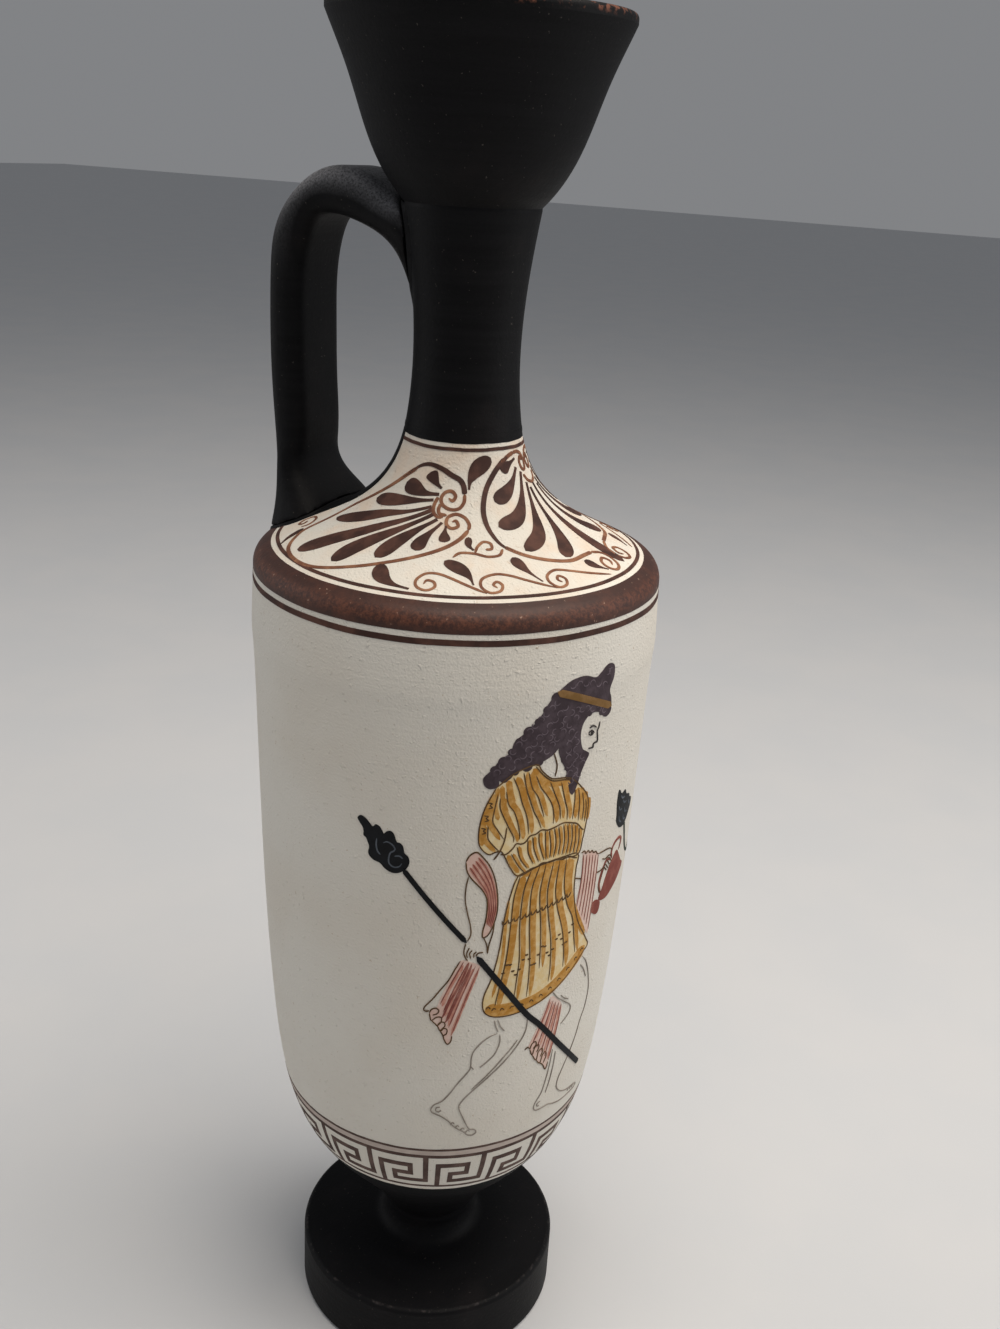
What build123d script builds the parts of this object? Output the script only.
from build123d import *
import os
from math import cos, radians, sin

# Driving dimensions in millimetres. Heights run up from the table, radii out from the vase's axis.
# A lean is how far a curve goes outward for each millimetre that it rises.

# Disc foot with its short stem
FOOT_RADIUS = 32.0
FOOT_EDGE_HEIGHT = 15.3
FOOT_EDGE_ROUND = 1.3
FOOT_TOP_RISE = 2.2
FOOT_RING_WIDTH = 8.0
FOOT_RECESS_DEPTH = 4.5
STEM_RADIUS = 11.0
STEM_HOLLOW = 3.2
STEM_RISE = 6.2
STEM_LEAN = 0.1
RECESS_LEAN = -1.4

# Body: a tall wall that swells slowly towards the shoulder
BODY_HEIGHT = 168.2
BODY_WALL = 4.2
BODY_FLOOR = 8.0
BODY_BELLY_SWELL = 0.3
BODY_BELLY_DROP = 15.0
BODY_WAIST_RADIUS = 38.9
BODY_WAIST_RISE = 60.0
BODY_TURN_RADIUS = 31.7
BODY_TURN_RISE = 29.4
BODY_STEM_LEAN = 0.5
BODY_RIM_LEAN = -0.05

# Shoulder: a rounded edge, a cone-like slope and a hollow sweep up to the neck
SHOULDER_RADIUS = 42.8
SHOULDER_EDGE_ROUND = 4.0
SHOULDER_SLOPE_DEGREES = 25.0
SHOULDER_HEIGHT = 28.6
SHOULDER_WALL = 4.0
SHOULDER_SWEEP_REACH = 4.6
SHOULDER_SWEEP_DROP = 10.6
SHOULDER_THROAT_LEAN = -0.2
SHOULDER_INSIDE_LEAN = -0.1

# Neck: narrowest a little above the shoulder, flaring gently to the mouth
NECK_FOOT_RADIUS = 12.0
NECK_WAIST_RADIUS = 10.8
NECK_WAIST_RISE = 14.0
NECK_TOP_RADIUS = 13.4
NECK_HEIGHT = 42.4
NECK_WALL = 3.2
NECK_FOOT_LEAN = -0.17
NECK_TOP_LEAN = 0.16

# Mouth: a calyx with a knee at its base and an upright lip
MOUTH_HEIGHT = 34.7
MOUTH_KNEE_RISE = 8.4
MOUTH_KNEE_RADIUS = 19.3
MOUTH_BOWL_RISE = 23.4
MOUTH_BOWL_RADIUS = 24.9
MOUTH_RADIUS = 28.9
MOUTH_WALL = 3.6
LIP_HEIGHT = 2.0
LIP_ROUND = 1.1
MOUTH_BASE_LEAN = 1.0
MOUTH_BOWL_LEAN = 0.42
MOUTH_THROAT_LEAN = 0.5
MOUTH_INSIDE_LEAN = 0.3

# Strap handle from under the mouth to the shoulder's edge, flaring where it is pressed on
HANDLE_WIDTH = 17.4
HANDLE_THICKNESS = 8.4
HANDLE_EDGE_ROUND = 3.7
HANDLE_ROUND_LIMIT = 0.48
HANDLE_OVERHANG = 1.1
HANDLE_OVERHANG_DROP = 19.5
HANDLE_ARCH_DISTANCE = 29.5
HANDLE_ARCH_RISE = 5.4
HANDLE_TOP_INSET = 7.6
HANDLE_TOP_DROP = 6.4
HANDLE_TOP_WIDTH = 19.5
HANDLE_TOP_DEPTH = 14.0
HANDLE_TOP_FLARE_LENGTH = 36.0
HANDLE_TOP_CLIMB = 0.3
HANDLE_TAIL_DROP = 24.0
HANDLE_TAIL_TOP_DROP = 5.5
HANDLE_TAIL_REACH = 6.5
HANDLE_TAIL_ROUND = 8.0
HANDLE_TAIL_LEAN = 0.12
HANDLE_TAIL_CLIMB = 0.7
HANDLE_TAIL_SECTIONS = 6
HANDLE_ROOT_INSET = 10.0
HANDLE_ROOT_WIDTH = 35.0
HANDLE_ROOT_DEPTH = 17.5
HANDLE_ROOT_FLARE_LENGTH = 28.0
HANDLE_ROOT_LEAN = 0.3
HANDLE_MOUTH_GAP = 0.4
HANDLE_SECTIONS = 12
FLARE_POWER = 2.2

# Luted seams: a layer of slip between bevelled edges
SLIP = 0.6
SEAM_BEVEL = 1.4

# Levels of the seams, stacked from the table up
HOLLOW_LEVEL = FOOT_EDGE_HEIGHT + FOOT_TOP_RISE
FOOT_TOP = HOLLOW_LEVEL + STEM_RISE
BODY_BOTTOM = FOOT_TOP + SLIP
BODY_TOP = BODY_BOTTOM + BODY_HEIGHT
SHOULDER_BOTTOM = BODY_TOP + SLIP
SHOULDER_TOP = SHOULDER_BOTTOM + SHOULDER_HEIGHT
NECK_BOTTOM = SHOULDER_TOP + SLIP
NECK_TOP = NECK_BOTTOM + NECK_HEIGHT
MOUTH_BOTTOM = NECK_TOP + SLIP
MOUTH_TOP = MOUTH_BOTTOM + MOUTH_HEIGHT

# Inner radii at the seams
SHOULDER_SEAM_INSIDE = SHOULDER_RADIUS - BODY_WALL
NECK_FOOT_INSIDE = NECK_FOOT_RADIUS - NECK_WALL
NECK_TOP_INSIDE = NECK_TOP_RADIUS - NECK_WALL


def turned(*edges):
    """A solid of revolution about the vase's axis from a closed half outline of radius and height."""
    return revolve(Plane.XZ * make_face(list(edges)), Axis.Z)


def filled(*edges):
    """The full turned solid between upward outer edges and the axis."""
    low = edges[0] @ 0
    high = edges[-1] @ 1
    return turned(
        *edges,
        Line(high, (0, high.Y)),
        Line((0, high.Y), (0, low.Y)),
        Line((0, low.Y), low),
    )


def inside_points(curve, wall, shares):
    """Points one wall thickness inside an upward curve, at shares of its length."""
    points = []
    for share in shares:
        along = curve % share
        points.append(curve @ share + Vector(-along.Y, along.X) * wall)
    return points


def slip_ring(outside, inside, level):
    """A ring of slip on a seam whose edge drops by the bevel towards the inside."""
    low_outside = (outside, level)
    low_inside = (inside, level - SEAM_BEVEL)
    high_inside = (inside, level - SEAM_BEVEL + SLIP)
    high_outside = (outside, level + SLIP)
    return turned(Polyline(low_outside, low_inside, high_inside, high_outside, close=True))


# Outer curves of the turned pieces, each drawn upward

def body_curve():
    """An upturned stem, a full turn above it, then a long wall that leans out to the belly."""
    return Spline(
        (STEM_RADIUS, BODY_BOTTOM),
        (BODY_TURN_RADIUS, BODY_BOTTOM + BODY_TURN_RISE),
        (BODY_WAIST_RADIUS, BODY_BOTTOM + BODY_WAIST_RISE),
        (SHOULDER_RADIUS + BODY_BELLY_SWELL, BODY_TOP - BODY_BELLY_DROP),
        (SHOULDER_RADIUS, BODY_TOP),
        tangents=[(BODY_STEM_LEAN, 1), (BODY_RIM_LEAN, 1)],
    )


def shoulder_edge():
    """The rounded edge, from upright at the seam to the slope of the shoulder."""
    centre = (SHOULDER_RADIUS - SHOULDER_EDGE_ROUND, SHOULDER_BOTTOM)
    return CenterArc(centre, SHOULDER_EDGE_ROUND, 0, 90 - SHOULDER_SLOPE_DEGREES)


def shoulder_sweep():
    """The slope and the hollow sweep that lifts it into the foot of the neck."""
    slope = radians(SHOULDER_SLOPE_DEGREES)
    return Spline(
        shoulder_edge() @ 1,
        (NECK_FOOT_RADIUS + SHOULDER_SWEEP_REACH, SHOULDER_TOP - SHOULDER_SWEEP_DROP),
        (NECK_FOOT_RADIUS, SHOULDER_TOP),
        tangents=[(-cos(slope), sin(slope)), (SHOULDER_THROAT_LEAN, 1)],
    )


def neck_curve(coat=0):
    """The neck's outside, with room for a coat of slip where the handle is pressed on."""
    return Spline(
        (NECK_FOOT_RADIUS + coat, NECK_BOTTOM),
        (NECK_WAIST_RADIUS + coat, NECK_BOTTOM + NECK_WAIST_RISE),
        (NECK_TOP_RADIUS + coat, NECK_TOP),
        tangents=[(NECK_FOOT_LEAN, 1), (NECK_TOP_LEAN, 1)],
    )


def mouth_curve():
    """A spreading base, a knee, then a bowl that opens out to the lip."""
    return Spline(
        (NECK_TOP_RADIUS, MOUTH_BOTTOM),
        (MOUTH_KNEE_RADIUS, MOUTH_BOTTOM + MOUTH_KNEE_RISE),
        (MOUTH_BOWL_RADIUS, MOUTH_BOTTOM + MOUTH_BOWL_RISE),
        (MOUTH_RADIUS, MOUTH_TOP - LIP_HEIGHT),
        tangents=[(MOUTH_BASE_LEAN, 1), (MOUTH_BOWL_LEAN, 1)],
    )


# Turned pieces

def make_foot():
    """Disc with a rounded edge, a hollowed underside on a resting ring, and the stem above."""
    ring_inside = (FOOT_RADIUS - FOOT_RING_WIDTH, 0)
    bottom_edge = (FOOT_RADIUS - FOOT_EDGE_ROUND, 0)
    side_low = (FOOT_RADIUS, FOOT_EDGE_ROUND)
    side_high = (FOOT_RADIUS, FOOT_EDGE_HEIGHT - FOOT_EDGE_ROUND)
    top_edge = (FOOT_RADIUS - FOOT_EDGE_ROUND, FOOT_EDGE_HEIGHT)
    stem_foot = (STEM_RADIUS + STEM_HOLLOW, HOLLOW_LEVEL)
    stem_top = (STEM_RADIUS, FOOT_TOP)
    recess_top = (0, FOOT_RECESS_DEPTH)
    top_slope = Vector(*stem_foot) - Vector(*top_edge)
    return turned(
        TangentArc(bottom_edge, side_low, tangent=(1, 0)),
        Line(side_low, side_high),
        TangentArc(side_high, top_edge, tangent=(0, 1)),
        Line(top_edge, stem_foot),
        Spline(stem_foot, stem_top, tangents=[top_slope, (STEM_LEAN, 1)]),
        Line(stem_top, (0, FOOT_TOP)),
        Line((0, FOOT_TOP), recess_top),
        Spline(recess_top, ring_inside, tangents=[(1, 0), (-RECESS_LEAN, -1)]),
        Line(ring_inside, bottom_edge),
    )


def make_body():
    """Hollow body: even wall, bowl-shaped floor and a bevelled rim for the shoulder."""
    outer = body_curve()
    base = (0, BODY_BOTTOM)
    floor = (0, BODY_BOTTOM + BODY_FLOOR)
    rim = (SHOULDER_SEAM_INSIDE, BODY_TOP - SEAM_BEVEL)
    wall_points = inside_points(outer, BODY_WALL, [0.18, 0.32, 0.55, 0.78])
    return turned(
        outer,
        Line(outer @ 1, rim),
        Spline(floor, *wall_points, rim, tangents=[(1, 0), outer % 1]),
        Line(floor, base),
        Line(base, outer @ 0),
    )


def make_shoulder():
    """Domed cap with an even wall, bevelled at its rim and at its throat."""
    edge = shoulder_edge()
    sweep = shoulder_sweep()
    rim = (SHOULDER_SEAM_INSIDE, SHOULDER_BOTTOM - SEAM_BEVEL)
    throat = (NECK_FOOT_INSIDE, SHOULDER_TOP - SEAM_BEVEL)
    wall_points = inside_points(sweep, SHOULDER_WALL, [0.1, 0.4, 0.72])
    return turned(
        edge,
        sweep,
        Line(sweep @ 1, throat),
        Spline(rim, *wall_points, throat, tangents=[(SHOULDER_INSIDE_LEAN, 1), (SHOULDER_INSIDE_LEAN, 1)]),
        Line(rim, edge @ 0),
    )


def make_neck():
    """Waisted tube with bevelled ends."""
    outer = neck_curve()
    low = (NECK_FOOT_INSIDE, NECK_BOTTOM - SEAM_BEVEL)
    high = (NECK_TOP_INSIDE, NECK_TOP - SEAM_BEVEL)
    wall_points = inside_points(outer, NECK_WALL, [0.33, 0.7])
    return turned(
        outer,
        Line(outer @ 1, high),
        Spline(low, *wall_points, high),
        Line(low, outer @ 0),
    )


def make_mouth():
    """Funnel-shaped mouth with a rounded upright lip."""
    outer = mouth_curve()
    lip_outside = (MOUTH_RADIUS, MOUTH_TOP - LIP_ROUND)
    lip_top_outside = (MOUTH_RADIUS - LIP_ROUND, MOUTH_TOP)
    lip_top_inside = (MOUTH_RADIUS - MOUTH_WALL + LIP_ROUND, MOUTH_TOP)
    lip_inside = (MOUTH_RADIUS - MOUTH_WALL, MOUTH_TOP - LIP_ROUND)
    throat = (NECK_TOP_INSIDE, MOUTH_BOTTOM - SEAM_BEVEL)
    wall_points = inside_points(outer, MOUTH_WALL, [0.32, 0.66])
    return turned(
        outer,
        Line(outer @ 1, lip_outside),
        TangentArc(lip_outside, lip_top_outside, tangent=(0, 1)),
        Line(lip_top_outside, lip_top_inside),
        TangentArc(lip_top_inside, lip_inside, tangent=(-1, 0)),
        Spline(throat, *wall_points, lip_inside, tangents=[(MOUTH_THROAT_LEAN, 1), (MOUTH_INSIDE_LEAN, 1)]),
        Line(throat, outer @ 0),
    )


# Strap handle, in the plane behind the vase

def handle_path():
    """Centre line of the strap: out of the neck, over the arch, down the grip, into the shoulder."""
    half = HANDLE_THICKNESS / 2
    return Spline(
        (0, NECK_WAIST_RADIUS - HANDLE_TOP_INSET, NECK_TOP - HANDLE_TOP_DROP),
        (0, HANDLE_ARCH_DISTANCE, NECK_TOP + HANDLE_ARCH_RISE - half),
        (0, SHOULDER_RADIUS + HANDLE_OVERHANG - half, NECK_TOP - HANDLE_OVERHANG_DROP),
        (0, SHOULDER_RADIUS - HANDLE_ROOT_INSET, SHOULDER_BOTTOM),
        tangents=[(0, 1, HANDLE_TOP_CLIMB), (0, 1, 0), (0, 0, -1), (0, -HANDLE_ROOT_LEAN, -1)],
    )


def flare(distance, length):
    """Share of a flare that is left at a distance from its pressed-on end."""
    return max(0, 1 - distance / length) ** FLARE_POWER


def handle_strap():
    """The whole pulled strap before its ends are pressed to shape."""
    path = handle_path()
    sections = []
    for step in range(HANDLE_SECTIONS):
        share = step / (HANDLE_SECTIONS - 1)
        top = flare(share * path.length, HANDLE_TOP_FLARE_LENGTH)
        root = flare((1 - share) * path.length, HANDLE_ROOT_FLARE_LENGTH)
        width = HANDLE_WIDTH
        width += (HANDLE_TOP_WIDTH - HANDLE_WIDTH) * top
        width += (HANDLE_ROOT_WIDTH - HANDLE_WIDTH) * root
        depth = HANDLE_THICKNESS
        depth += (HANDLE_TOP_DEPTH - HANDLE_THICKNESS) * top
        depth += (HANDLE_ROOT_DEPTH - HANDLE_THICKNESS) * root
        most_round = HANDLE_ROUND_LIMIT * min(width, depth)
        edge_round = min(HANDLE_EDGE_ROUND * depth / HANDLE_THICKNESS, most_round)
        across = Plane(origin=path @ share, x_dir=(1, 0, 0), z_dir=path % share)
        sections.append(across * RectangleRounded(width, depth, edge_round))
    return loft(sections)


def handle_tail():
    """The smear of clay that runs from under the strap's top end down the neck."""
    front = Spline(
        (0, NECK_WAIST_RADIUS, NECK_TOP - HANDLE_TAIL_DROP),
        (0, NECK_TOP_RADIUS + HANDLE_TAIL_REACH, NECK_TOP - HANDLE_TAIL_TOP_DROP),
        tangents=[(0, HANDLE_TAIL_LEAN, 1), (0, 1, HANDLE_TAIL_CLIMB)],
    )
    sections = []
    for step in range(HANDLE_TAIL_SECTIONS):
        tip = front @ (step / (HANDLE_TAIL_SECTIONS - 1))
        sections.append(Pos(0, tip.Y - HANDLE_TAIL_ROUND, tip.Z) * Circle(HANDLE_TAIL_ROUND))
    return loft(sections)


def make_handle_pieces():
    """The handle with its ends cut to the vase, and the slip that holds each end."""
    strap = handle_strap() + handle_tail()
    seam_height = MOUTH_BOTTOM - NECK_TOP
    seam_level = Pos(0, 0, (MOUTH_BOTTOM + NECK_TOP) / 2)
    neck = filled(neck_curve()) + seam_level * Cylinder(NECK_TOP_RADIUS, seam_height)
    coated_neck = filled(neck_curve(SLIP)) + seam_level * Cylinder(NECK_TOP_RADIUS + SLIP, seam_height)
    mouth = Pos(0, 0, -HANDLE_MOUTH_GAP) * filled(mouth_curve())
    edge = shoulder_edge()
    wall_below = Line((SHOULDER_RADIUS, SHOULDER_BOTTOM - HANDLE_ROOT_DEPTH), edge @ 0)
    shoulder = filled(wall_below, edge, shoulder_sweep())
    coated_shoulder = Pos(0, 0, SLIP) * shoulder
    handle = strap - coated_neck - mouth - coated_shoulder
    top_slip = (strap & coated_neck) - neck - mouth
    root_slip = (strap & coated_shoulder) - shoulder
    return handle, top_slip, root_slip


handle, handle_top_slip, handle_root_slip = make_handle_pieces()
foot_slip = Pos(0, 0, FOOT_TOP + SLIP / 2) * Cylinder(STEM_RADIUS, SLIP)

pieces = {
    "foot": make_foot(),
    "body": make_body(),
    "shoulder": make_shoulder(),
    "neck": make_neck(),
    "mouth": make_mouth(),
    "handle": handle,
    "foot_slip": foot_slip,
    "shoulder_slip": slip_ring(SHOULDER_RADIUS, SHOULDER_SEAM_INSIDE, BODY_TOP),
    "neck_slip": slip_ring(NECK_FOOT_RADIUS, NECK_FOOT_INSIDE, SHOULDER_TOP),
    "mouth_slip": slip_ring(NECK_TOP_RADIUS, NECK_TOP_INSIDE, NECK_TOP),
    "handle_top_slip": handle_top_slip,
    "handle_root_slip": handle_root_slip,
}

os.makedirs("parts", exist_ok=True)
for name, piece in pieces.items():
    export_step(piece, f"parts/{name}.step")
